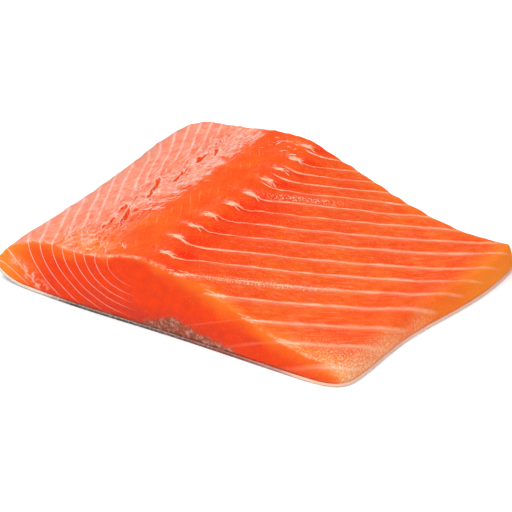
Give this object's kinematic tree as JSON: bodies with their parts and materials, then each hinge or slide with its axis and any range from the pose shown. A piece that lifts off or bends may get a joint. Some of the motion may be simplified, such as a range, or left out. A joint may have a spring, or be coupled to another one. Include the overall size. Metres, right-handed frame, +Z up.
{
  "type": "raw salmon fillet",
  "caption": "Raw salmon fillet portion with skin, thick along the pin-bone line and thinning to the belly, with two straight cut faces.",
  "frame": {"origin": "centre of the bounding box's lowest face, on the surface that the skin lies on", "axes": "+Z up from the skin to the cut flesh; +X across the fillet from the back edge to the thin belly edge; +Y along the fish, from the near cut to the far cut"},
  "size_m": [0.1516, 0.1098, 0.0273],
  "materials": {
    "flesh": "moist raw salmon muscle, translucent orange with thin white fat lines, softly glossy",
    "skin": "scaled salmon skin, silvery with dark grey mottling, wet"
  },
  "bodies": {
    "root": {"flesh": "flesh", "skin": "skin"}
  },
  "joints": []
}
